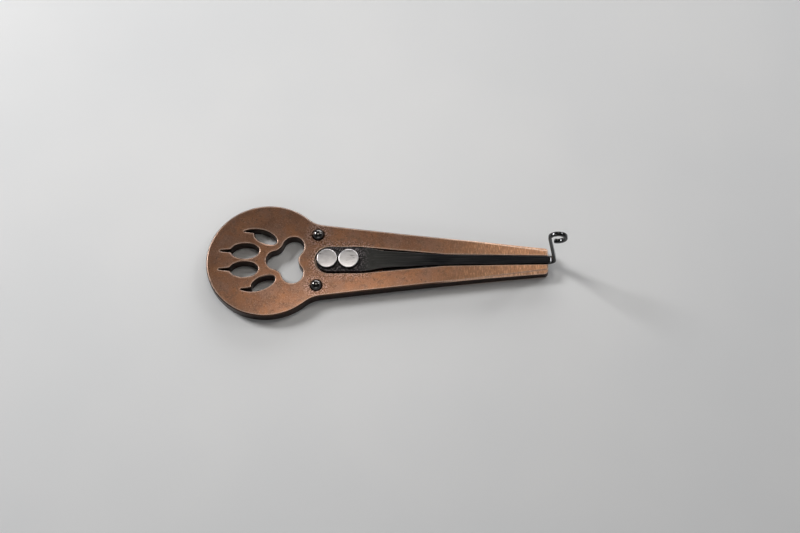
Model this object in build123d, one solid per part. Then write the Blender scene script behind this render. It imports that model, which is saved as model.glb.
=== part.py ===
from build123d import *
import os
from math import acos, atan2, cos, degrees, hypot, radians, sin

# Jaw harp of the plate kind, lying on its back, in millimetres.
# The origin is on the back face, on the reed's line, midway between the two reed rivets.
# +X runs along the reed to the trigger, +Z comes out of the front face.

# Plate of the frame
PLATE_THICKNESS = 3.2
DISC_RADIUS = 17.0
DISC_WALL = 3.15            # plate left between the paw's pad and the reed pocket
NECK_FILLET = 8.0           # hollow curve from the disc into each arm
FRAME_REACH = 58.3          # from the origin to the end of the arms
ARM_ROOT_WIDTH = 26.1       # across the arms' outer edges, carried back to the disc's centre
ARM_TIP_WIDTH = 7.7
ARM_HOLLOW = 0.42           # how far each outer edge is hollowed from a straight line
ARM_CORNER = 1.1            # rounding of the outer corners at the arms' ends
OUTLINE_CHAMFER = 0.25      # broken edge round the outline, front and back
PAW_CHAMFER = 0.2           # broken edge round the paw's cut-outs, front and back
SLOT_CHAMFER = 0.12         # broken front edge along the pocket and the slot
TIP_BEVEL_LENGTH = 30.0     # filed bevel along the outer front edges, widest at the arms' ends
TIP_BEVEL_WIDTH = 1.1
TIP_BEVEL_DEPTH = 0.9

# Reed pocket, blind round the rivets and open beyond its floor, and the slot that follows it
POCKET_WIDTH = 8.0
POCKET_DEPTH = 0.9
POCKET_END = 2.45           # from the origin back to the centre of its round end
POCKET_STRAIGHT = 6.1       # from the origin to where the walls start to close in
FLOOR_REACH = 12.6          # from the origin to the end of the floor, where the reed starts to bend
SLOT_KNEE = 29.8            # from the origin to where the walls turn nearly parallel
SLOT_KNEE_WIDTH = 3.4
SLOT_TIP_WIDTH = 2.5

# Reed: one strip of spring steel, thick at the root and ground thinner along the tongue
ROOT_CLEARANCE = 0.35       # round the root, inside the pocket
TONGUE_CLEARANCE = 0.2      # beside the tongue, inside the slot
ROOT_THICKNESS = 1.4
TONGUE_THICKNESS = 0.9
TONGUE_RELIEF = 0.25        # the tongue's underside above the pocket floor
RELIEF_RAMP = 2.0           # length of the slope up to that underside
REED_WAIST = 14.1           # from the origin to the end of the shoulders
REED_WAIST_WIDTH = 4.9
SHOULDER_EASE = 3.0         # how long the shoulders stay tangent at each end
FLEX_KERF = 0.15            # thin space at the bending line, between the fixed root and the tongue

# Trigger: the reed's end, bent up past the arms and curled outwards into a loop
TRIGGER_OVERHANG = 0.2      # from the arms' ends to the start of the bend
TRIGGER_BEND = 1.45         # radius of the bend, on the middle of the strip
TRIGGER_LEAN = 8.5          # degrees, back over the frame
TRIGGER_STEM = 12.15
TRIGGER_WIDTH = 1.2
TRIGGER_TAPER = 7.0         # height over which the strip narrows to that width
LOOP_DIAMETER = 5.2         # outside
LOOP_TURN = 303.0           # degrees, almost back to the stem

# Reed rivets: flat heads on the reed, tails set flush into the back
REED_RIVET_PITCH = 6.0
REED_RIVET_HEAD = 5.6
REED_RIVET_HEAD_HEIGHT = 0.85
REED_RIVET_CHAMFER = 0.22
REED_RIVET_SHANK = 3.0

# Dome rivets at the neck
DOME_SETBACK = 5.8          # from the origin back to their line
DOME_SPACING = 15.56
DOME_HEAD = 3.5
DOME_HEIGHT = 1.4
DOME_SHANK = 2.0

# Fit of every rivet
TAIL_FLARE = 0.6            # the tail's cone: how much wider than the shank all round, and how deep
RIVET_CLEARANCE = 0.03      # round every shank and tail

# Bear's paw cut through the disc, from the disc's centre; the claws point to -X
PAD_HEEL = (2.6, 2.8)                   # round end towards the toes: place along X, radius
PAD_LOBE = (7.25, 4.05, 3.0)            # side lobes: place along X, distance from the axis, radius
PAD_HOLLOW = 3.2                        # radius of the hollows between the three
INNER_TOE = (-6.3, 2.82)
INNER_TOE_SIZE = (7.9, 4.65)
INNER_CLAW_TIP = (-14.2, 2.86)          # where the claw's sides would meet
INNER_CLAW_WIDTH = 1.8                  # at the toe's middle
OUTER_TOE = (-0.66, 6.94)
OUTER_TOE_SIZE = (6.9, 3.6)
OUTER_TOE_TURN = -25.0                  # degrees
OUTER_CLAW_TIP = (-7.1, 8.93)           # where the claw's edges would meet
OUTER_CLAW_BACK = (-4.0, 9.6)           # the claw's outer edge bulges to here
OUTER_CLAW_NOTCH = (-3.6, 8.4)          # the claw's inner edge runs into the toe to here
INNER_CLAW_FILLET = 0.8                 # where the middle toes' claws leave the ovals
OUTER_CLAW_FILLET = 0.3
CLAW_TIP_RADIUS = 0.12

# Places that follow from those sizes
pocket_rear = -POCKET_END - POCKET_WIDTH / 2
disc_x = pocket_rear - DISC_WALL - PAD_LOBE[0] - PAD_LOBE[2]
floor_z = PLATE_THICKNESS - POCKET_DEPTH
root_top = floor_z + ROOT_THICKNESS
tongue_bottom = floor_z + TONGUE_RELIEF
tongue_top = tongue_bottom + TONGUE_THICKNESS
tongue_middle = tongue_bottom + TONGUE_THICKNESS / 2
root_width = POCKET_WIDTH - 2 * ROOT_CLEARANCE
knee_width = SLOT_KNEE_WIDTH - 2 * TONGUE_CLEARANCE
tongue_tip_width = SLOT_TIP_WIDTH - 2 * TONGUE_CLEARANCE
bend_x = FRAME_REACH + TRIGGER_OVERHANG
above = PLATE_THICKNESS + ROOT_THICKNESS


def both_sides(half):
    """A face that is symmetric about the X axis, from the edges of its +Y half."""
    edges = half.edges()
    return make_face(edges + mirror(half, about=Plane.XZ).edges())


def disc_point(place):
    """A place given from the disc's centre, in the part's frame."""
    return (disc_x + place[0], place[1])


def outline():
    """The frame seen from the front: the disc, the two arms as one tongue and the hollow necks."""
    root = (disc_x, ARM_ROOT_WIDTH / 2)
    tip = (FRAME_REACH, ARM_TIP_WIDTH / 2)
    half = Curve() + Line((disc_x, 0), root)
    half += SagittaArc(root, tip, -ARM_HOLLOW)
    half += Line(tip, (FRAME_REACH, 0))
    arms = both_sides(half)
    shape = Pos(disc_x, 0) * Circle(DISC_RADIUS) + arms
    corners = shape.vertices().sort_by(Axis.X)
    shape = fillet(corners[-2:], ARM_CORNER)
    necks = shape.vertices().filter_by(lambda v: abs(hypot(v.X - disc_x, v.Y) - DISC_RADIUS) < 1e-4)
    necks = necks.filter_by(lambda v: v.X > disc_x)
    return fillet(necks, NECK_FILLET)


def slot_face():
    """The pocket and the slot seen from the front, open past the ends of the arms."""
    end = (-POCKET_END, POCKET_WIDTH / 2)
    straight = (POCKET_STRAIGHT, POCKET_WIDTH / 2)
    knee = (SLOT_KNEE, SLOT_KNEE_WIDTH / 2)
    tip = (FRAME_REACH, SLOT_TIP_WIDTH / 2)
    past = (FRAME_REACH + ARM_TIP_WIDTH, SLOT_TIP_WIDTH / 2)
    half = Curve() + CenterArc((-POCKET_END, 0), POCKET_WIDTH / 2, 90, 90)
    half += Polyline(end, straight, knee, tip, past, (past[0], 0))
    return both_sides(half)


def pad_face():
    """The paw's pad: a heel and two side lobes, joined by three tangent hollows."""
    heel = Vector(disc_x + PAD_HEEL[0], 0)
    lobe = Vector(disc_x + PAD_LOBE[0], PAD_LOBE[1])
    heel_reach = PAD_HEEL[1] + PAD_HOLLOW
    lobe_reach = PAD_LOBE[2] + PAD_HOLLOW

    # The side hollow touches the heel and the lobe, so its centre is that far from both
    way = lobe - heel
    opening = acos((heel_reach**2 + way.length**2 - lobe_reach**2) / (2 * heel_reach * way.length))
    bearing = atan2(way.Y, way.X) + opening
    side = heel + Vector(cos(bearing), sin(bearing)) * heel_reach
    # The end hollow touches both lobes, so its centre is on the axis
    end = Vector(lobe.X + (lobe_reach**2 - lobe.Y**2) ** 0.5, 0)

    heel_stop = degrees(bearing)
    side_stop = degrees(atan2(lobe.Y - side.Y, lobe.X - side.X))
    lobe_stop = degrees(atan2(end.Y - lobe.Y, end.X - lobe.X))
    half = Curve() + CenterArc(heel, PAD_HEEL[1], 180, heel_stop - 180)
    half += CenterArc(side, PAD_HOLLOW, heel_stop - 180, side_stop - heel_stop + 180)
    half += CenterArc(lobe, PAD_LOBE[2], side_stop + 180, lobe_stop - side_stop - 180)
    half += CenterArc(end, PAD_HOLLOW, lobe_stop + 180, -lobe_stop)
    return both_sides(half)


def inner_toe_face():
    """A middle toe: an oval with a straight claw."""
    tip = disc_point(INNER_CLAW_TIP)
    middle = disc_point(INNER_TOE)
    base = [(middle[0], tip[1] + side * INNER_CLAW_WIDTH / 2) for side in (-1, 1)]
    claw = make_face(Polyline(tip, base[0], base[1], close=True))
    return Pos(*middle) * Ellipse(INNER_TOE_SIZE[0] / 2, INNER_TOE_SIZE[1] / 2) + claw


def outer_toe_face():
    """An outer toe: a turned oval with a claw that curves along its outer side."""
    tip = disc_point(OUTER_CLAW_TIP)
    middle = disc_point(OUTER_TOE)
    turn = radians(OUTER_TOE_TURN)
    # The claw's back leaves the oval at the end of its short axis
    shoulder = (
        middle[0] - sin(turn) * OUTER_TOE_SIZE[1] / 2,
        middle[1] + cos(turn) * OUTER_TOE_SIZE[1] / 2,
    )
    notch = disc_point(OUTER_CLAW_NOTCH)
    edges = Curve() + ThreePointArc(shoulder, disc_point(OUTER_CLAW_BACK), tip)
    edges += Polyline(tip, notch, middle, shoulder)
    oval = Rot(0, 0, OUTER_TOE_TURN) * Ellipse(OUTER_TOE_SIZE[0] / 2, OUTER_TOE_SIZE[1] / 2)
    return Pos(*middle) * oval + make_face(edges)


def through(face):
    """A cutter right through the plate."""
    return extrude(Pos(0, 0, -PLATE_THICKNESS) * face, 3 * PLATE_THICKNESS)


def rivet(head, shank, grip, clearance=0.0):
    """A rivet along Z, its tail flush at z=0, its head (a half profile) seated at the grip."""
    radius = shank / 2 + clearance
    foot = Polyline((0, 0), (radius + TAIL_FLARE, 0), (radius, TAIL_FLARE), (radius, grip))
    profile = make_face(foot.edges() + head.edges())
    return revolve(Plane.XZ * profile, Axis.Z)


def reed_rivet(clearance=0.0):
    """Flat head with a broken rim."""
    radius = REED_RIVET_HEAD / 2
    rim = REED_RIVET_CHAMFER
    top = root_top + REED_RIVET_HEAD_HEIGHT
    seat = (REED_RIVET_SHANK / 2 + clearance, root_top)
    head = Polyline(seat, (radius, root_top), (radius, top - rim), (radius - rim, top), (0, top), (0, 0))
    return rivet(head, REED_RIVET_SHANK, root_top, clearance)


def dome_rivet(clearance=0.0):
    """Domed head on the plate."""
    radius = DOME_HEAD / 2
    ball = (radius**2 + DOME_HEIGHT**2) / (2 * DOME_HEIGHT)
    seat = (DOME_SHANK / 2 + clearance, PLATE_THICKNESS)
    top = PLATE_THICKNESS + DOME_HEIGHT
    head = Curve() + Line(seat, (radius, PLATE_THICKNESS))
    head += RadiusArc((radius, PLATE_THICKNESS), (0, top), -ball)
    head += Line((0, top), (0, 0))
    return rivet(head, DOME_SHANK, PLATE_THICKNESS, clearance)


def arm_edge(back):
    """The arms' outer edge: its distance from the axis, that far back from their ends."""
    length = FRAME_REACH - disc_x
    share = back / length
    straight = ARM_TIP_WIDTH / 2 + share * (ARM_ROOT_WIDTH - ARM_TIP_WIDTH) / 2
    return straight - 4 * ARM_HOLLOW * share * (1 - share)


def tip_bevel(side):
    """The block filed off one arm's outer front edge, on a plane that deepens towards the arm's end."""
    edge = arm_edge(0)
    start = Vector(FRAME_REACH - TIP_BEVEL_LENGTH, side * arm_edge(TIP_BEVEL_LENGTH), PLATE_THICKNESS)
    inside = Vector(FRAME_REACH, side * (edge - TIP_BEVEL_WIDTH), PLATE_THICKNESS)
    below = Vector(FRAME_REACH, side * edge, PLATE_THICKNESS - TIP_BEVEL_DEPTH)
    along = inside - start
    facet = Plane(origin=start, x_dir=along, z_dir=along.cross(below - start) * side)
    block = Box(
        TIP_BEVEL_LENGTH + 2 * ARM_CORNER,
        ARM_TIP_WIDTH,
        PLATE_THICKNESS,
        align=(Align.MIN, Align.CENTER, Align.MIN),
    )
    return facet * block


def toe_cutter(toe, root_radius):
    """A toe's cutter, with its claw rounded at the tip and where it leaves the oval."""
    cutter = through(toe)
    roots = cutter.edges().filter_by(Axis.Z).sort_by(Axis.X)[1:]
    cutter = fillet(roots, root_radius)
    tip = cutter.edges().filter_by(Axis.Z).sort_by(Axis.X)[0]
    return fillet(tip, CLAW_TIP_RADIUS)


def pierce_paw(plate):
    """The pad and the four toes, cut through, with their edges broken on both faces."""
    plate -= through(pad_face())
    inner = toe_cutter(inner_toe_face(), INNER_CLAW_FILLET)
    outer = toe_cutter(outer_toe_face(), OUTER_CLAW_FILLET)
    for cutter in (inner, outer):
        plate -= cutter
        plate -= mirror(cutter, about=Plane.XZ)
    levels = plate.faces().filter_by(Axis.Z).sort_by(Axis.Z)
    holes = levels[0].inner_wires() + levels[-1].inner_wires()
    return chamfer([edge for hole in holes for edge in hole.edges()], PAW_CHAMFER)


def open_slot(plate):
    """The reed's pocket, blind as far as its floor and through beyond it, its front edge broken."""
    slot = slot_face()
    plate -= extrude(Pos(0, 0, floor_z) * slot, above)
    open_end = Pos(FLOOR_REACH + FRAME_REACH, 0) * Rectangle(2 * FRAME_REACH, POCKET_WIDTH)
    plate -= through(slot & open_end)
    flare = extrude(Pos(0, 0, PLATE_THICKNESS - SLOT_CHAMFER) * slot, 2 * SLOT_CHAMFER, taper=-45)
    return plate - flare


def frame():
    """The plate, cut out to its outline, pierced, pocketed and drilled."""
    plate = extrude(outline(), PLATE_THICKNESS)
    rims = plate.faces().sort_by(Axis.Z)
    plate = chamfer(rims[0].edges() + rims[-1].edges(), OUTLINE_CHAMFER)
    for side in (-1, 1):
        plate -= tip_bevel(side)
    plate = pierce_paw(plate)
    plate = open_slot(plate)
    for spot in reed_rivet_spots():
        plate -= spot * reed_rivet(RIVET_CLEARANCE)
    for spot in dome_rivet_spots():
        plate -= spot * dome_rivet(RIVET_CLEARANCE)
    return plate


def reed_rivet_spots():
    return [Pos(side * REED_RIVET_PITCH / 2, 0) for side in (-1, 1)]


def dome_rivet_spots():
    return [Pos(-DOME_SETBACK, side * DOME_SPACING / 2) for side in (1, -1)]


def reed_plan():
    """The reed seen from the front: round root, shoulders, then two tapers to the bend."""
    end = (-POCKET_END, root_width / 2)
    straight = (POCKET_STRAIGHT, root_width / 2)
    waist = (REED_WAIST, REED_WAIST_WIDTH / 2)
    knee = (SLOT_KNEE, knee_width / 2)
    tip = (FRAME_REACH, tongue_tip_width / 2)
    fall = (waist[1] - knee[1]) / (knee[0] - waist[0])
    half = Curve() + CenterArc((-POCKET_END, 0), root_width / 2, 90, 90)
    half += Line(end, straight)
    half += Bezier(
        straight,
        (straight[0] + SHOULDER_EASE, straight[1]),
        (waist[0] - SHOULDER_EASE, waist[1] + SHOULDER_EASE * fall),
        waist,
    )
    half += Polyline(waist, knee, tip, (bend_x, tip[1]), (bend_x, 0))
    return both_sides(half)


def reed_side():
    """The reed's flat strip seen from the side: full thickness at the root, ground down to the tongue."""
    rear = -POCKET_END - root_width
    relief = FLOOR_REACH - RELIEF_RAMP
    bottom = [(rear, floor_z), (relief - RELIEF_RAMP, floor_z)]
    bottom += [(relief, tongue_bottom), (bend_x, tongue_bottom)]
    top = [(bend_x, tongue_top), (SLOT_KNEE, tongue_top), (relief, root_top), (rear, root_top)]
    return make_face(Polyline(*bottom, *top, close=True))


def reed_strip():
    return extrude(reed_plan(), above) & extrude(Plane.XZ * reed_side(), POCKET_WIDTH, both=True)


def reed_base():
    """The fixed root of the reed, drilled for its rivets."""
    keep = Pos(FLOOR_REACH - FLEX_KERF / 2 - FRAME_REACH, 0) * Rectangle(2 * FRAME_REACH, POCKET_WIDTH)
    base = reed_strip() & extrude(keep, above)
    for spot in reed_rivet_spots():
        base -= spot * Cylinder(REED_RIVET_SHANK / 2 + RIVET_CLEARANCE, 3 * above)
    return base


def trigger():
    """The bent end: up past the arms, leaning back, then curled over towards +X."""
    bend = JernArc((bend_x, tongue_middle), (1, 0), TRIGGER_BEND, 90 + TRIGGER_LEAN)
    stem = Line(bend @ 1, bend @ 1 + (bend % 1) * TRIGGER_STEM)
    loop = JernArc(stem @ 1, stem % 1, (LOOP_DIAMETER - TONGUE_THICKNESS) / 2, -LOOP_TURN)
    path = Plane.XZ * (Curve() + bend + stem + loop)
    section = Plane((bend_x, 0, tongue_middle), x_dir=(0, 1, 0), z_dir=(1, 0, 0))
    strip = sweep(section * Rectangle(tongue_tip_width, TONGUE_THICKNESS), path)

    low = tongue_top + TRIGGER_BEND
    high = low + TRIGGER_TAPER
    crown = high + TRIGGER_STEM + LOOP_DIAMETER
    half = [(tongue_tip_width / 2, 0), (tongue_tip_width / 2, low), (TRIGGER_WIDTH / 2, high)]
    half += [(TRIGGER_WIDTH / 2, crown), (0, crown), (0, 0)]
    right = make_face(Polyline(*half, close=True))
    front = right + mirror(right, about=Plane.YZ)
    return strip & extrude(Plane.YZ * front, 2 * FRAME_REACH)


def reed_tongue():
    """The free length of the reed with its trigger."""
    keep = Pos(FLOOR_REACH + FLEX_KERF / 2 + FRAME_REACH, 0) * Rectangle(2 * FRAME_REACH, POCKET_WIDTH)
    return (reed_strip() & extrude(keep, above)) + trigger()


os.makedirs("parts", exist_ok=True)
pieces = {"frame": frame(), "reed_base": reed_base(), "reed_tongue": reed_tongue()}
for name, spot in zip(("rear", "front"), reed_rivet_spots()):
    pieces[f"reed_rivet_{name}"] = spot * reed_rivet()
for name, spot in zip(("left", "right"), dome_rivet_spots()):
    pieces[f"dome_rivet_{name}"] = spot * dome_rivet()
for name, piece in pieces.items():
    export_step(piece, f"parts/{name}.step")
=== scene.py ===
from collections import namedtuple
from math import asin, cos, pi, radians, sin

import bmesh
import bpy
from mathutils import Matrix, Vector


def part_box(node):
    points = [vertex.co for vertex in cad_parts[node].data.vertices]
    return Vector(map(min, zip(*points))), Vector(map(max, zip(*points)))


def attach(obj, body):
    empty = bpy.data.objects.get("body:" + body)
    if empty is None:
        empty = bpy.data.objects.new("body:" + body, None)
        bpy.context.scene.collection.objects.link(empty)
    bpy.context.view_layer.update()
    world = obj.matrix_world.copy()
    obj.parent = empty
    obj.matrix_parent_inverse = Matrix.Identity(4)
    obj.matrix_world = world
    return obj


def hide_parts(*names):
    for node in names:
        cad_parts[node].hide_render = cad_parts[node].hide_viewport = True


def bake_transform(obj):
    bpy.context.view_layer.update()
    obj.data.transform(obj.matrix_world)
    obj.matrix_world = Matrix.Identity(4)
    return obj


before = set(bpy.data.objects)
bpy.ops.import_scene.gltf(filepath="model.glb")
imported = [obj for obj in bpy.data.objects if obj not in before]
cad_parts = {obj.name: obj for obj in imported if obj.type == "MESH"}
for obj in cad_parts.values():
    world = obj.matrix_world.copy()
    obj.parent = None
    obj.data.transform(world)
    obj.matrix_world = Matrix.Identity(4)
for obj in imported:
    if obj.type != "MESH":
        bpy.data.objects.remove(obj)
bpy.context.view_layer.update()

# A plate jaw harp on its back. Lengths are in millimetres, and a mesh or a light takes them times MM.
MM = 0.001

# Camera: what it looks at, from how far and at what angles
CAMERA_TARGET = (17.17, -0.50, 0.0)
CAMERA_DISTANCE = 447.6
CAMERA_AZIMUTH = radians(5.08)
CAMERA_ELEVATION = radians(64.30)
CAMERA_ROLL = radians(-4.58)
CAMERA_LENS = 72.1
CAMERA_SENSOR = 36.0
CAMERA_CLIP = (10.0, 10000.0)

# Stage: the floor, and a room whose walls are paler than its ceiling
FLOOR_REACH = 2000.0
FLOOR_DROP = 0.03               # under the harp's back, so that the two faces don't share a plane
ROOM_TINT = (0.92, 0.93, 0.95)
WALL_TOP = (0.30, 0.60)         # sines of the heights between which the walls fade into the ceiling
WALL_GLOW = 0.25
CEILING_GLOW = 0.045
WHITE = (1.0, 1.0, 1.0)
WARM = (1.0, 0.95, 0.88)

# Frame: the reed's pocket
POCKET_END = 2.45               # from the frame's origin back to the centre of its round end
POCKET_HALF = 4.0
# Frame: places along +X between which a finish fades in
BEVELLED = (26.0, 34.0)
FILED = (22.0, 46.0)
# Frame: distances from the pocket and the dome rivets between which the peened finish and the painted
# contact shadow fade in
PEENED = (2.8, 0.3)
DOME_SHADOW_REACH = (0.22, 0.05)
# Frame: how level a surface is, from 0 on a wall to 1 on a face, where a finish fades in
FACE_LEVEL = (0.76, 0.96)
BEVEL_LEVEL = (0.45, 0.70)
CHAMFER_LEVEL = (0.30, 0.65)
# Frame: width of the worn rims and their painted highlight, and how far the shading of the edges is rounded
WORN_HIGHLIGHT_WIDTH = 0.65
EDGE_SOFTNESS = 0.25

# Reed: the plan of the strip, from the frame's origin along +X
ROOT_STRAIGHT = 6.1             # where the root starts to narrow
REED_WAIST = 14.1
REED_WAIST_HALF = 2.45
SHOULDER_EASE = 3.0             # how long the shoulders stay tangent at each end
REED_KNEE = 29.8
REED_KNEE_HALF = 1.5
REED_TIP_HALF = 1.05
# Reed: the strip from the side
RELIEF_START = 8.6              # the underside leaves the pocket floor here
RELIEF_END = 10.6               # and the top starts to slope down here
TONGUE_THICKNESS = 0.9
# Reed: the trigger
BEND_START = 0.2                # past the ends of the arms
BEND_RADIUS = 1.45
TRIGGER_LEAN = radians(8.5)
TRIGGER_STEM = 12.15
TRIGGER_HALF = 0.6
TRIGGER_TAPER = (4.9, 11.9)     # heights between which the strip narrows
LOOP_RADIUS = 2.15
LOOP_TURN = radians(303.0)
# Reed: rounding of the strip's edges, of the polished trigger's, and what is left of it at the very end
STRIP_EDGE = 0.12
TRIGGER_EDGE = 0.26
LAST_EDGE = 0.02
# Reed: the distance under which its points merge
WELD = 0.001
# Reed: places along the strip between which its finish changes
ROOT_FADE = (9.5, 5.5)
DARKENING = (8.0, 31.0)
POLISH_FADE = (58.3, 59.3)
REED_RIM = 0.22
# The strip's darkening round the flat heads is a painted contact shadow
RIVET_SHADOW_REACH = (0.45, 0.08)        # distances from the flat heads between which the strip darkens

# Rivets
HEAD_ROUNDING = 0.2
HEAD_CROWN = 0.05
HEAD_FOOT = 0.1
TAIL_FLARE = 0.6
REED_SHANK = 1.5
DOME_SHANK = 1.0
# Painted highlight: the front flat head is made lighter than the rear one
FRONT_HIGHLIGHT_SPAN = (-2.0, 2.0)        # places along +X between which the flat heads grow lighter
# The darkening of the flat heads' sides is painted shade
HEAD_SHADE_LEVEL = (0.75, 0.35)       # how level the heads are where their sides and skirts darken
# The darkening of the domes' skirts is painted shade
DOME_SHADE_LEVEL = (0.62, 0.38)

# How many steps each curve is drawn with
ROOT_STEPS = 18
SIDE_STEPS = 6
SHOULDER_STEPS = 14
TONGUE_STEPS = (14, 12)         # before and past the knee
BEND_STEPS = 14
STEM_STEPS = 12
LOOP_STEPS = 48
EDGE_STEPS = 4
CROWN_STEPS = 5
RIM_STEPS = 6
FOOT_STEPS = 4
DOME_STEPS = 18
LATHE_STEPS = 72

# Rims: how many rays find an edge, and how well the rounded normal matches the true one from face to edge
EDGE_RAYS = 6
RIM_MATCH = (0.998, 0.955)

# Colours of the copper face, from its ground tones to what lies on them
COPPER_BROWN = (0.40, 0.203, 0.126)
COPPER_TAN = (0.54, 0.262, 0.151)
PATINA_GREY = (0.45, 0.265, 0.195)
PATINA_ORANGE = (0.58, 0.265, 0.130)
COPPER_CLOUD = (0.28, 0.158, 0.108)
COPPER_GRAIN = (0.68, 0.42, 0.29)
COPPER_PIT = (0.17, 0.095, 0.066)
PEENED_DARK = (0.15, 0.090, 0.068)
PEENED_LIGHT = (0.82, 0.58, 0.51)
# Painted contact shadow round the feet of the dome rivets
DOME_CONTACT_SHADOW = (0.045, 0.028, 0.022)
FILED_COPPER = (0.66, 0.340, 0.185)
FILED_STREAK = (0.96, 0.58, 0.35)
FILED_DULL = (0.34, 0.190, 0.125)
# Colours of the copper's cut walls and chamfers, which are painted shade, and of its worn rims, lightened
# as a painted highlight
WALL_SHADE_DEEP = (0.028, 0.016, 0.012)
WALL_SHADE_SOFT = (0.065, 0.036, 0.025)
CHAMFER_SHADE = (0.13, 0.075, 0.052)
WORN_HIGHLIT_COPPER = (0.95, 0.77, 0.65)

# Colours of the spring steel
STEEL_GREY = (0.053, 0.053, 0.051)
STEEL_BLACK = (0.013, 0.0135, 0.0165)
STEEL_LINE = (0.115, 0.115, 0.112)
STEEL_CLOUD = (0.025, 0.026, 0.028)
STEEL_EDGE = (0.22, 0.225, 0.23)
ROOT_BLACK = (0.020, 0.018, 0.020)
ROOT_FLECK = (0.22, 0.196, 0.202)
# Painted contact shadow round the flat rivet heads
RIVET_CONTACT_SHADOW = (0.010, 0.009, 0.009)
POLISH_DARK = (0.045, 0.045, 0.047)
POLISH_LIGHT = (0.080, 0.080, 0.080)

# Colours of the rivets
RIVET_GREY = (0.74, 0.71, 0.72)
RIVET_PALE = (0.86, 0.83, 0.84)
# Painted highlight on the front flat head
RIVET_FRONT_HIGHLIGHT = (1.0, 0.98, 0.99)
SCRATCH_LIGHT = (0.98, 0.96, 0.965)
SCRATCH_DARK = (0.64, 0.615, 0.62)
RIVET_PIT = (0.52, 0.50, 0.50)
# Painted shade on the sides of the flat heads
RIVET_SIDE_SHADE = (0.16, 0.15, 0.15)
DOME_DARK = (0.105, 0.100, 0.097)
DOME_LIGHT = (0.140, 0.133, 0.129)
DOME_HAIR = (0.30, 0.30, 0.305)
# Painted shade on the skirts of the dome rivets
DOME_SKIRT_SHADE = (0.018, 0.016, 0.015)
DOME_GRAZING = (0.25, 0.25, 0.25)

# Colours of the floor
FLOOR_COOL = (0.84, 0.845, 0.85)
FLOOR_PALE = (0.87, 0.87, 0.87)

# A cross-section of the reed; normal points out of its +Y edge in plan, and edge is how far it is rounded
Station = namedtuple("Station", "middle way up half thick normal edge")


def in_mm(node):
    """The lowest and highest corners of a node of the frame, in millimetres."""
    low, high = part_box(node)
    return low / MM, high / MM


def steps(start, stop, count):
    """Evenly spaced values from start to stop, both included."""
    return [start + (stop - start) * i / count for i in range(count + 1)]


def between(value, points):
    """A broken line's height at a value; points are (value, height) in rising order."""
    if value <= points[0][0]:
        return points[0][1]
    for (a, low), (b, high) in zip(points, points[1:]):
        if value <= b:
            return low + (high - low) * (value - a) / (b - a)
    return points[-1][1]


def finish_mesh(name, bm, material):
    """A smooth-shaded object from a bmesh in millimetres."""
    bmesh.ops.recalc_face_normals(bm, faces=bm.faces)
    mesh = bpy.data.meshes.new(name)
    bm.to_mesh(mesh)
    bm.free()
    mesh.transform(Matrix.Scale(MM, 4))
    mesh.shade_smooth()
    mesh.materials.append(material)
    made = bpy.data.objects.new(name, mesh)
    bpy.context.scene.collection.objects.link(made)
    weighted = made.modifiers.new("flat_faces_stay_flat", "WEIGHTED_NORMAL")
    weighted.keep_sharp = True
    return made


class Nodes:
    """A node tree, with one method for each kind of node."""

    def __init__(self, tree):
        self.tree = tree

    def feed(self, socket, value):
        if isinstance(value, bpy.types.NodeSocket):
            self.tree.links.new(value, socket)
        elif socket.type == "RGBA":
            socket.default_value = (*value, 1.0)
        else:
            socket.default_value = value

    def add(self, kind, inputs, output=0, **settings):
        node = self.tree.nodes.new(kind)
        for key, value in settings.items():
            setattr(node, key, value)
        for key, value in inputs.items():
            self.feed(node.inputs[key], value)
        return node.outputs[output]

    def part(self, vector, axis):
        return self.add("ShaderNodeSeparateXYZ", {0: vector}, axis)

    def stretch(self, vector, factors):
        return self.add("ShaderNodeVectorMath", {0: vector, 1: factors}, operation="MULTIPLY")

    def shift(self, vector, way):
        return self.add("ShaderNodeVectorMath", {0: vector, 1: way}, operation="ADD")

    def reach(self, vector):
        return self.add("ShaderNodeVectorMath", {0: vector}, "Value", operation="LENGTH")

    def noise(self, vector, scale, detail, roughness):
        inputs = {"Vector": vector, "Scale": scale, "Detail": detail, "Roughness": roughness}
        return self.add("ShaderNodeTexNoise", inputs, "Fac")

    def maths(self, operation, a, b=0.0):
        return self.add("ShaderNodeMath", {0: a, 1: b}, operation=operation)

    def times(self, a, b):
        return self.maths("MULTIPLY", a, b)

    def plus(self, a, b):
        return self.maths("ADD", a, b)

    def minus(self, a, b):
        return self.maths("SUBTRACT", a, b)

    def span(self, value, low, high, to_low=0.0, to_high=1.0):
        """The value from low to high, eased to run from to_low to to_high."""
        inputs = {"Value": value, "From Min": low, "From Max": high, "To Min": to_low, "To Max": to_high}
        return self.add("ShaderNodeMapRange", inputs, interpolation_type="SMOOTHSTEP")

    def mix(self, share, a, b):
        return self.add("ShaderNodeMix", {0: share, 6: a, 7: b}, 2, data_type="RGBA")


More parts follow.
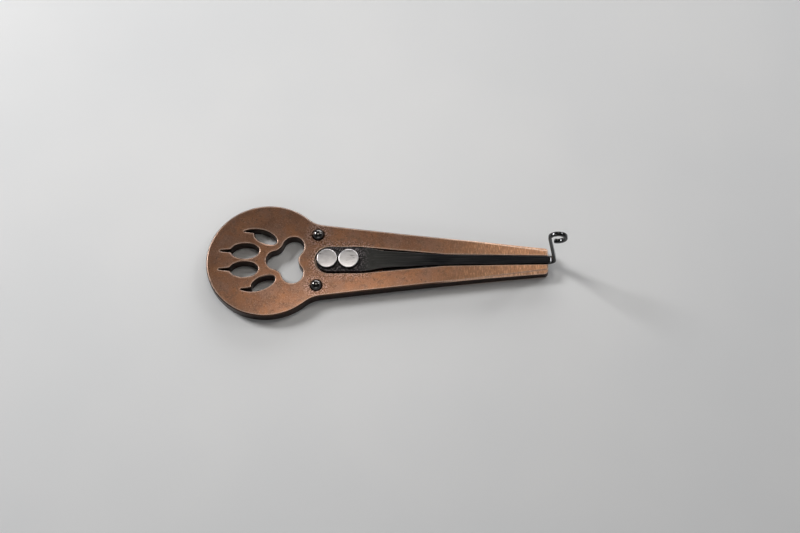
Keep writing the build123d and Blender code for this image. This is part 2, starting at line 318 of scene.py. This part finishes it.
class Shader(Nodes):
    """A material's nodes, with what they read from the surface."""

    def __init__(self, name):
        self.material = bpy.data.materials.new(name)
        self.material.use_nodes = True
        super().__init__(self.material.node_tree)
        self.surface = self.tree.nodes["Principled BSDF"]

    def place(self):
        """Object coordinates in millimetres."""
        return self.stretch(self.add("ShaderNodeTexCoord", {}, "Object"), (1 / MM,) * 3)

    def attribute(self, name):
        return self.add("ShaderNodeAttribute", {}, "Vector", attribute_name=name)

    def facing(self):
        """How far the surface faces up or down, from 0 on a wall to 1 on a level face."""
        normal = self.add("ShaderNodeTexCoord", {}, "Normal")
        return self.maths("ABSOLUTE", self.part(normal, "Z"))

    def rounded(self, radius):
        """The normal of the surface with its edges rounded to that radius."""
        return self.add("ShaderNodeBevel", {"Radius": radius * MM}, samples=EDGE_RAYS)

    def rim(self, radius):
        """From 0 on a face to 1 at an edge, over that radius."""
        inputs = {0: self.rounded(radius), 1: self.add("ShaderNodeNewGeometry", {}, "True Normal")}
        match = self.add("ShaderNodeVectorMath", inputs, "Value", operation="DOT_PRODUCT")
        return self.span(match, *RIM_MATCH)

    def off_pocket(self, mm):
        """Distance in plan from the rim of the reed's pocket."""
        x = self.part(mm, "X")
        nearest = self.maths("MINIMUM", self.maths("MAXIMUM", x, -POCKET_END), ROOT_STRAIGHT)
        inputs = {0: self.minus(x, nearest), 1: self.part(mm, "Y")}
        off_axis = self.add("ShaderNodeCombineXYZ", inputs)
        return self.minus(self.reach(off_axis), POCKET_HALF)

    def off_heads(self, mm, *rivets):
        """Distance in plan from the edge of the nearest rivet head."""
        nearest = None
        for rivet_name in rivets:
            low, high = in_mm(rivet_name)
            flat = self.stretch(self.shift(mm, -(low + high) / 2), (1.0, 1.0, 0.0))
            away = self.minus(self.reach(flat), (high.x - low.x) / 2)
            nearest = away if nearest is None else self.maths("MINIMUM", nearest, away)
        return nearest

    def bump(self, height, depth, strength, normal=None):
        inputs = {"Height": height, "Distance": depth * MM, "Strength": strength}
        if normal is not None:
            inputs["Normal"] = normal
        return self.add("ShaderNodeBump", inputs)

    def finish(self, **sockets):
        for name, value in sockets.items():
            self.feed(self.surface.inputs[name.replace("_", " ")], value)
        return self.material


def copper():
    """Tumbled copper plate: mottled brown faces, worn rims with a painted highlight, cut walls darkened by
    painted shade, and filed tips.
    """
    s = Shader("copper_plate")
    mm = s.place()
    along = s.part(mm, "X")
    facing = s.facing()
    tip_bevels = s.times(s.span(facing, *BEVEL_LEVEL), s.span(along, *BEVELLED))
    level = s.maths("MAXIMUM", s.span(facing, *FACE_LEVEL), tip_bevels)

    # Mottled all over
    blotches = s.noise(mm, scale=0.12, detail=4.0, roughness=0.6)
    patina = s.noise(s.shift(mm, (13.0, 3.0, 0.0)), scale=0.22, detail=2.0, roughness=0.5)
    cloud = s.noise(s.shift(mm, (31.0, 7.0, 0.0)), scale=0.55, detail=5.0, roughness=0.7)
    grain = s.noise(mm, scale=4.5, detail=2.0, roughness=0.5)
    pits = s.noise(s.shift(mm, (5.0, 41.0, 0.0)), scale=1.5, detail=3.0, roughness=0.6)
    face = s.mix(s.span(blotches, 0.35, 0.65), COPPER_BROWN, COPPER_TAN)
    face = s.mix(s.span(patina, 0.50, 0.64, 0.0, 0.55), face, PATINA_GREY)
    face = s.mix(s.span(patina, 0.46, 0.34, 0.0, 0.55), face, PATINA_ORANGE)
    face = s.mix(s.span(cloud, 0.48, 0.68, 0.0, 0.80), face, COPPER_CLOUD)
    face = s.mix(s.span(grain, 0.52, 0.70, 0.0, 0.70), face, COPPER_GRAIN)
    face = s.mix(s.span(pits, 0.60, 0.69, 0.0, 0.65), face, COPPER_PIT)

    # Peened and speckled round the reed's pocket and the dome rivets, and a painted contact shadow round
    # the domes' feet
    off_domes = s.off_heads(mm, "dome_rivet_left", "dome_rivet_right")
    peened = s.span(s.maths("MINIMUM", s.off_pocket(mm), off_domes), *PEENED)
    speck = s.noise(s.shift(mm, (0.0, 19.0, 0.0)), scale=2.2, detail=2.0, roughness=0.6)
    face = s.mix(s.times(peened, s.span(speck, 0.53, 0.60, 0.0, 0.95)), face, PEENED_DARK)
    face = s.mix(s.times(peened, s.span(speck, 0.48, 0.40, 0.0, 0.90)), face, PEENED_LIGHT)
    # Painted contact shadow: a dark ring on the plate round each dome rivet's foot
    face = s.mix(s.span(off_domes, *DOME_SHADOW_REACH, 0.0, 0.85), face, DOME_CONTACT_SHADOW)

    # Filed bright across the tips
    filed = s.times(s.span(along, *FILED), level)
    marks = s.noise(s.stretch(mm, (2.2, 0.45, 0.45)), scale=1.4, detail=3.0, roughness=0.65)
    streak = s.times(filed, s.span(marks, 0.50, 0.66))
    dull = s.times(filed, s.span(marks, 0.46, 0.36))
    face = s.mix(s.times(filed, 0.6), face, FILED_COPPER)
    face = s.mix(s.times(streak, 0.80), face, FILED_STREAK)
    face = s.mix(s.times(dull, 0.60), face, FILED_DULL)

    # Painted shade on the walls and chamfers, and a painted highlight on the worn rims of the faces
    wall = s.mix(s.span(cloud, 0.35, 0.7), WALL_SHADE_DEEP, WALL_SHADE_SOFT)
    wall = s.mix(s.span(facing, *CHAMFER_LEVEL, 0.0, 0.7), wall, CHAMFER_SHADE)
    worn_highlight = s.times(s.times(s.rim(WORN_HIGHLIGHT_WIDTH), level), s.span(cloud, 0.25, 0.6, 0.6, 1.0))
    paint = s.mix(level, wall, face)
    # Painted highlight and wear: the rims made paler
    paint = s.mix(s.times(worn_highlight, 0.70), paint, WORN_HIGHLIT_COPPER)

    # Gloss and relief
    rough = s.plus(s.span(cloud, 0.3, 0.7, 0.28, 0.33), s.times(worn_highlight, 0.10))
    height = s.plus(s.times(grain, 0.5), s.times(speck, peened))
    height = s.plus(height, s.times(marks, filed))
    height = s.minus(height, s.span(pits, 0.62, 0.70, 0.0, 0.6))
    normal = s.bump(height, depth=0.02, strength=0.5, normal=s.rounded(EDGE_SOFTNESS))
    return s.finish(Base_Color=paint, Metallic=1.0, Roughness=rough, Normal=normal)


def spring_steel():
    """Ground spring steel: grainy at the root, blue-black along the tongue, polished at the trigger."""
    s = Shader("spring_steel")
    strip = s.attribute("strip")
    along = s.part(strip, "X")
    lines = s.noise(s.stretch(strip, (0.10, 9.0, 9.0)), scale=1.0, detail=4.0, roughness=0.6)
    grain = s.noise(strip, scale=2.3, detail=2.0, roughness=0.6)
    cloud = s.noise(strip, scale=0.35, detail=3.0, roughness=0.6)
    root = s.span(along, *ROOT_FADE)
    trigger = s.span(along, *POLISH_FADE)

    paint = s.mix(s.span(along, *DARKENING), STEEL_GREY, STEEL_BLACK)
    paint = s.mix(s.span(lines, 0.45, 0.72, 0.0, 0.55), paint, STEEL_LINE)
    paint = s.mix(s.span(cloud, 0.5, 0.75, 0.0, 0.4), paint, STEEL_CLOUD)
    paint = s.mix(s.times(root, 0.85), paint, ROOT_BLACK)
    paint = s.mix(s.times(root, s.span(grain, 0.52, 0.62, 0.0, 0.80)), paint, ROOT_FLECK)
    # Painted contact shadow on the strip round the flat rivet heads
    off_rivets = s.off_heads(strip, "reed_rivet_rear", "reed_rivet_front")
    paint = s.mix(s.span(off_rivets, *RIVET_SHADOW_REACH, 0.0, 0.9), paint, RIVET_CONTACT_SHADOW)
    paint = s.mix(s.times(s.rim(REED_RIM), 0.25), paint, STEEL_EDGE)
    polish = s.mix(s.span(lines, 0.4, 0.7), POLISH_DARK, POLISH_LIGHT)
    paint = s.mix(trigger, paint, polish)

    rough = s.plus(s.span(lines, 0.3, 0.7, 0.30, 0.42), s.times(root, 0.12))
    rough = s.minus(rough, s.times(trigger, 0.26))
    height = s.plus(lines, s.times(root, grain))
    height = s.times(height, s.span(trigger, 0.0, 1.0, 1.0, 0.2))
    normal = s.bump(height, depth=0.012, strength=0.45)
    return s.finish(Base_Color=paint, Metallic=1.0, Roughness=rough, Normal=normal)


def flat_rivet_metal():
    """Light brushed metal with sides darkened by painted shade, and a painted highlight that makes the
    front head a little lighter.
    """
    s = Shader("flat_rivet")
    mm = s.place()
    scratches = s.noise(s.stretch(mm, (0.35, 2.4, 0.35)), scale=1.0, detail=5.0, roughness=0.65)
    pits = s.noise(mm, scale=3.2, detail=3.0, roughness=0.6)
    cloud = s.noise(mm, scale=0.4, detail=3.0, roughness=0.5)
    paint = s.mix(s.span(cloud, 0.35, 0.65), RIVET_GREY, RIVET_PALE)
    # Painted highlight: the front head a little lighter
    paint = s.mix(s.span(s.part(mm, "X"), *FRONT_HIGHLIGHT_SPAN, 0.0, 0.9), paint, RIVET_FRONT_HIGHLIGHT)
    paint = s.mix(s.span(scratches, 0.50, 0.68, 0.0, 0.7), paint, SCRATCH_LIGHT)
    paint = s.mix(s.span(scratches, 0.48, 0.34, 0.0, 0.4), paint, SCRATCH_DARK)
    paint = s.mix(s.span(pits, 0.60, 0.72, 0.0, 0.25), paint, RIVET_PIT)
    # Painted shade: the sides of the heads darker
    paint = s.mix(s.span(s.facing(), *HEAD_SHADE_LEVEL), paint, RIVET_SIDE_SHADE)
    rough = s.span(scratches, 0.3, 0.7, 0.27, 0.37)
    normal = s.bump(s.plus(scratches, s.times(pits, 0.6)), depth=0.012, strength=0.4)
    return s.finish(Base_Color=paint, Metallic=1.0, Roughness=rough, Normal=normal)


def dome_metal():
    """Dark polished steel with a few hairline scratches, and painted shade that darkens the skirt."""
    s = Shader("dome_rivet")
    mm = s.place()
    cloud = s.noise(mm, scale=1.2, detail=3.0, roughness=0.5)
    hair = s.noise(s.stretch(mm, (9.0, 0.6, 2.0)), scale=1.0, detail=3.0, roughness=0.7)
    paint = s.mix(s.span(cloud, 0.35, 0.65), DOME_DARK, DOME_LIGHT)
    paint = s.mix(s.span(hair, 0.62, 0.78, 0.0, 0.35), paint, DOME_HAIR)
    # Painted shade: the dome's skirt darker
    paint = s.mix(s.span(s.facing(), *DOME_SHADE_LEVEL), paint, DOME_SKIRT_SHADE)
    rough = s.span(cloud, 0.3, 0.7, 0.13, 0.17)
    normal = s.bump(hair, depth=0.003, strength=0.3)
    looks = {"Base_Color": paint, "Roughness": rough, "Normal": normal}
    return s.finish(Metallic=1.0, Specular_Tint=DOME_GRAZING, **looks)


def floor_paint():
    """Plain pale matt floor."""
    s = Shader("pale_floor")
    cloud = s.noise(s.place(), scale=0.02, detail=2.0, roughness=0.5)
    paint = s.mix(s.span(cloud, 0.3, 0.7), FLOOR_COOL, FLOOR_PALE)
    return s.finish(Base_Color=paint, Roughness=0.75)


def shoulder(share):
    """A point of the curve from the root's straight sides into the tongue's taper."""
    root_half = in_mm("reed_base")[1].y
    fall = (REED_WAIST_HALF - REED_KNEE_HALF) / (REED_KNEE - REED_WAIST)
    a = Vector((ROOT_STRAIGHT, root_half))
    b = a + Vector((SHOULDER_EASE, 0.0))
    d = Vector((REED_WAIST, REED_WAIST_HALF))
    c = d + Vector((-SHOULDER_EASE, SHOULDER_EASE * fall))
    rest = 1.0 - share
    return a * rest**3 + b * 3 * rest**2 * share + c * 3 * rest * share**2 + d * share**3


def strip_outline():
    """The flat strip's +Y edge as (x, half width, outward normal) from the rear end to the bend."""
    low, high = in_mm("reed_base")
    radius = high.y
    centre = low.x + radius
    arms_end = in_mm("frame")[1].x
    spots = []
    for angle in steps(0.0, pi / 2, ROOT_STEPS):
        outward = Vector((-cos(angle), sin(angle)))
        spots.append((centre + radius * outward.x, radius * outward.y, outward))
    side = [Vector((x, radius)) for x in steps(centre, ROOT_STRAIGHT, SIDE_STEPS)[1:-1]]
    side += [shoulder(share) for share in steps(0.0, 1.0, SHOULDER_STEPS)]
    taper = [(REED_WAIST, REED_WAIST_HALF), (REED_KNEE, REED_KNEE_HALF), (arms_end, REED_TIP_HALF)]
    tongue = steps(REED_WAIST, REED_KNEE, TONGUE_STEPS[0])[1:]
    tongue += steps(REED_KNEE, arms_end, TONGUE_STEPS[1])[1:]
    tongue.append(arms_end + BEND_START)
    side += [Vector((x, between(x, taper))) for x in tongue]
    before = [Vector((centre, radius))] + side[:-1]
    after = side[1:] + [side[-1] + Vector((1.0, 0.0))]
    for spot, last, following in zip(side, before, after):
        way = (following - last).normalized()
        spots.append((spot.x, spot.y, Vector((-way.y, way.x))))
    return spots


def flat_stations():
    """Stations of the reed's flat strip, from its round rear end to the bend."""
    low, high = in_mm("reed_base")
    tongue_low = in_mm("reed_tongue")[0].z
    under = [(RELIEF_START, low.z), (RELIEF_END, tongue_low)]
    over = [(RELIEF_END, high.z), (REED_KNEE, tongue_low + TONGUE_THICKNESS)]
    forward = Vector((1, 0, 0))
    up = Vector((0, 0, 1))
    made = []
    for x, half, normal in strip_outline():
        bottom, top = between(x, under), between(x, over)
        middle = Vector((x, 0.0, (bottom + top) / 2))
        made.append(Station(middle, forward, up, half, (top - bottom) / 2, normal, STRIP_EDGE))
    return made


def trigger_path():
    """The trigger's middle line as (point, slope of the line) from the bend to the end of the loop."""
    tongue_middle = in_mm("reed_tongue")[0].z + TONGUE_THICKNESS / 2
    start = Vector((in_mm("frame")[1].x + BEND_START, 0.0, tongue_middle))
    lean = pi / 2 + TRIGGER_LEAN

    def up(slope):
        return Vector((-sin(slope), 0.0, cos(slope)))

    centre = start + up(0.0) * BEND_RADIUS
    path = [(centre - up(slope) * BEND_RADIUS, slope) for slope in steps(0.0, lean, BEND_STEPS)[1:]]
    foot = path[-1][0]
    rise = Vector((cos(lean), 0.0, sin(lean)))
    path += [(foot + rise * height, lean) for height in steps(0.0, TRIGGER_STEM, STEM_STEPS)[1:]]
    centre = path[-1][0] - up(lean) * LOOP_RADIUS
    last_turn = LOOP_TURN - TRIGGER_EDGE / LOOP_RADIUS
    for turn in steps(0.0, last_turn, LOOP_STEPS)[1:]:
        path.append((centre + up(lean - turn) * LOOP_RADIUS, lean - turn))
    return path


def trigger_stations():
    """Stations of the trigger, ending in a rounded end."""
    taper = [(TRIGGER_TAPER[0], REED_TIP_HALF), (TRIGGER_TAPER[1], TRIGGER_HALF)]
    sides = Vector((0.0, 1.0))
    made = []
    for i, (point, slope) in enumerate(trigger_path()):
        way = Vector((cos(slope), 0.0, sin(slope)))
        up = Vector((-sin(slope), 0.0, cos(slope)))
        edge = STRIP_EDGE + (TRIGGER_EDGE - STRIP_EDGE) * min(1.0, i / BEND_STEPS)
        half = between(point.z, taper)
        made.append(Station(point, way, up, half, TONGUE_THICKNESS / 2, sides, edge))
    last = made[-1]
    for angle in steps(0.0, pi / 2, EDGE_STEPS)[1:]:
        inset = last.edge * (1.0 - cos(angle))
        made.append(last._replace(
            middle=last.middle + last.way * last.edge * sin(angle),
            half=last.half - inset,
            thick=last.thick - inset,
            edge=last.edge - inset + LAST_EDGE,
        ))
    return made


def edge_column(bm, strip, station, length, side):
    """The points of one rounded edge at a station, from the top of the strip round to its underside."""
    column = []
    for angle in steps(pi / 2, 0.0, EDGE_STEPS) + steps(0.0, -pi / 2, EDGE_STEPS):
        inset = station.edge * (1.0 - cos(angle))
        half_flat = station.thick - station.edge
        lift = (half_flat if len(column) <= EDGE_STEPS else -half_flat) + station.edge * sin(angle)
        forward = -station.normal.x * inset
        across = side * max(station.half - station.normal.y * inset, 0.0)
        spot = station.middle + station.way * forward + Vector((0, across, 0)) + station.up * lift
        vert = bm.verts.new(spot)
        vert[strip] = (length + forward, across, lift)
        column.append(vert)
    return column


def skin(bm, columns):
    """The faces between pairs of edge columns, and over the last pair."""
    rows = range(len(columns[0][0]) - 1)
    for (left, right), (next_left, next_right) in zip(columns, columns[1:]):
        for row in rows:
            bm.faces.new((left[row], left[row + 1], next_left[row + 1], next_left[row]))
            bm.faces.new((right[row], next_right[row], next_right[row + 1], right[row + 1]))
        bm.faces.new((left[0], next_left[0], next_right[0], right[0]))
        bm.faces.new((left[-1], right[-1], next_right[-1], next_left[-1]))
    left, right = columns[-1]
    for row in rows:
        bm.faces.new((left[row], left[row + 1], right[row + 1], right[row]))


def reed():
    """One strip from the riveted root to the loop, whose underside leaves the pocket floor past the root.
    """
    bm = bmesh.new()
    strip = bm.verts.layers.float_vector.new("strip")
    stations = flat_stations() + trigger_stations()
    columns = []
    last = stations[0].middle
    length = last.x
    for station in stations:
        length += (station.middle - last).length
        last = station.middle
        columns.append([edge_column(bm, strip, station, length, side) for side in (1, -1)])
    skin(bm, columns)
    bmesh.ops.remove_doubles(bm, verts=bm.verts, dist=WELD)
    made = finish_mesh("reed", bm, spring_steel())
    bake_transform(made)
    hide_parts("reed_base", "reed_tongue")


def lathe(name, profile, centre, material):
    """A turned piece; profile is (radius, height) from the top of the axis to its foot."""
    bm = bmesh.new()
    turns = [2 * pi * i / LATHE_STEPS for i in range(LATHE_STEPS)]
    rings = []
    for radius, height in profile:
        if radius == 0.0:
            rings.append([bm.verts.new((centre.x, centre.y, height))])
            continue
        spots = [(centre.x + radius * cos(turn), centre.y + radius * sin(turn), height) for turn in turns]
        rings.append([bm.verts.new(spot) for spot in spots])
    for upper, lower in zip(rings, rings[1:]):
        for i in range(LATHE_STEPS):
            j = (i + 1) % LATHE_STEPS
            corners = [upper[i % len(upper)], lower[i % len(lower)]]
            corners += [lower[j % len(lower)], upper[j % len(upper)]]
            bm.faces.new(list(dict.fromkeys(corners)))
    return finish_mesh(name, bm, material)


def rivet(name, head, shank, seat, material):
    """A rivet in its node's place: its head's profile, its shank, and a tail flush with the back."""
    low, high = in_mm(name)
    foot = [(shank, seat), (shank, low.z + TAIL_FLARE), (shank + TAIL_FLARE, low.z), (0.0, low.z)]
    made = lathe(name + "_turned", head + foot, (low + high) / 2, material)
    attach(made, "body")
    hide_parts(name)


def flat_rivets():
    """The reed's two rivets: slightly crowned heads with rounded rims."""
    metal = flat_rivet_metal()
    seat = in_mm("reed_base")[1].z
    for name in ("reed_rivet_rear", "reed_rivet_front"):
        low, high = in_mm(name)
        radius = (high.x - low.x) / 2
        flat = radius - HEAD_ROUNDING
        shoulder_z = high.z - HEAD_CROWN - HEAD_ROUNDING
        foot_z = seat + HEAD_FOOT
        head = [(flat * share, high.z - HEAD_CROWN * share**2) for share in steps(0.0, 1.0, CROWN_STEPS)]
        for angle in steps(pi / 2, 0.0, RIM_STEPS)[1:]:
            head.append((flat + HEAD_ROUNDING * cos(angle), shoulder_z + HEAD_ROUNDING * sin(angle)))
        for angle in steps(0.0, -pi / 2, FOOT_STEPS):
            head.append((radius - HEAD_FOOT + HEAD_FOOT * cos(angle), foot_z + HEAD_FOOT * sin(angle)))
        rivet(name, head, REED_SHANK, seat, metal)


def dome_rivets():
    """The neck's two rivets: heads that are caps of a ball."""
    metal = dome_metal()
    seat = in_mm("frame")[1].z
    for name in ("dome_rivet_left", "dome_rivet_right"):
        low, high = in_mm(name)
        radius = (high.x - low.x) / 2
        rise = high.z - seat
        ball = (radius**2 + rise**2) / (2 * rise)
        edge = asin(radius / ball)
        centre_z = high.z - ball
        head = [(ball * sin(angle), centre_z + ball * cos(angle)) for angle in steps(0.0, edge, DOME_STEPS)]
        rivet(name, head, DOME_SHANK, seat, metal)


def floor():
    """A wide pale plane under the harp."""
    bm = bmesh.new()
    corners = [(-1, -1), (1, -1), (1, 1), (-1, 1)]
    bm.faces.new([bm.verts.new((x * FLOOR_REACH, y * FLOOR_REACH, -FLOOR_DROP)) for x, y in corners])
    made = finish_mesh("floor", bm, floor_paint())


def softbox(name, place, aim, size, power, tint=WHITE):
    """A rectangular studio light at a place, turned to what it lights; its power is in watts."""
    light = bpy.data.lights.new(name, "AREA")
    light.color = tint
    light.shape = "RECTANGLE"
    light.size, light.size_y = size[0] * MM, size[1] * MM
    light.energy = power
    made = bpy.data.objects.new(name, light)
    made.location = Vector(place) * MM
    made.rotation_mode = "QUATERNION"
    made.rotation_quaternion = (Vector(aim) - Vector(place)).to_track_quat("-Z", "Y")
    bpy.context.scene.collection.objects.link(made)


def room():
    """A dim room round the lights."""
    world = bpy.data.worlds.new("room")
    world.use_nodes = True
    background = world.node_tree.nodes["Background"]
    n = Nodes(world.node_tree)
    rise = n.part(n.add("ShaderNodeTexCoord", {}, "Generated"), "Z")
    n.feed(background.inputs["Color"], ROOM_TINT)
    n.feed(background.inputs["Strength"], n.span(rise, *WALL_TOP, WALL_GLOW, CEILING_GLOW))
    bpy.context.scene.world = world


def studio():
    """Soft lights all round, and two small warm ones over the disc and the arms' tips."""
    middle = (0.0, 0.0, 0.0)
    arms = (20.0, 0.0, 0.0)
    softbox("key", place=(-380.0, 240.0, 300.0), aim=middle, size=(140.0, 140.0), power=1.7)
    softbox("fill", place=(380.0, 240.0, 300.0), aim=arms, size=(90.0, 90.0), power=0.3)
    softbox("back", place=(140.0, 760.0, 200.0), aim=arms, size=(840.0, 240.0), power=3.6)
    softbox("front", place=(20.0, -465.0, 290.0), aim=middle, size=(400.0, 160.0), power=0.21)
    disc = (-6.0, -10.0, 0.0)
    tips = (50.0, 0.0, 0.0)
    softbox("disc", place=(-6.0, 17.5, 120.0), aim=disc, size=(56.0, 38.0), power=0.0172, tint=WARM)
    softbox("tips", place=(72.0, 90.0, 150.0), aim=tips, size=(45.0, 44.0), power=0.011, tint=WARM)
    room()
    bpy.context.scene.view_settings.view_transform = "Standard"


def camera():
    """A camera at the photograph's viewing angle."""
    lens = bpy.data.cameras.new("camera")
    lens.lens = CAMERA_LENS
    lens.sensor_width = CAMERA_SENSOR
    lens.clip_start, lens.clip_end = CAMERA_CLIP[0] * MM, CAMERA_CLIP[1] * MM
    level = cos(CAMERA_ELEVATION)
    back = Vector((sin(CAMERA_AZIMUTH) * level, -cos(CAMERA_AZIMUTH) * level, sin(CAMERA_ELEVATION)))
    right = Vector((cos(CAMERA_AZIMUTH), sin(CAMERA_AZIMUTH), 0.0))
    up = back.cross(right)
    rolled_right = right * cos(CAMERA_ROLL) + up * sin(CAMERA_ROLL)
    rolled_up = up * cos(CAMERA_ROLL) - right * sin(CAMERA_ROLL)
    pose = Matrix((rolled_right, rolled_up, back)).transposed().to_4x4()
    pose.translation = (Vector(CAMERA_TARGET) + back * CAMERA_DISTANCE) * MM
    made = bpy.data.objects.new("camera", lens)
    made.matrix_world = pose
    bpy.context.scene.collection.objects.link(made)
    bpy.context.scene.camera = made


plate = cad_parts["frame"]
plate.data.materials.clear()
plate.data.materials.append(copper())
reed()
flat_rivets()
dome_rivets()
floor()
studio()
camera()
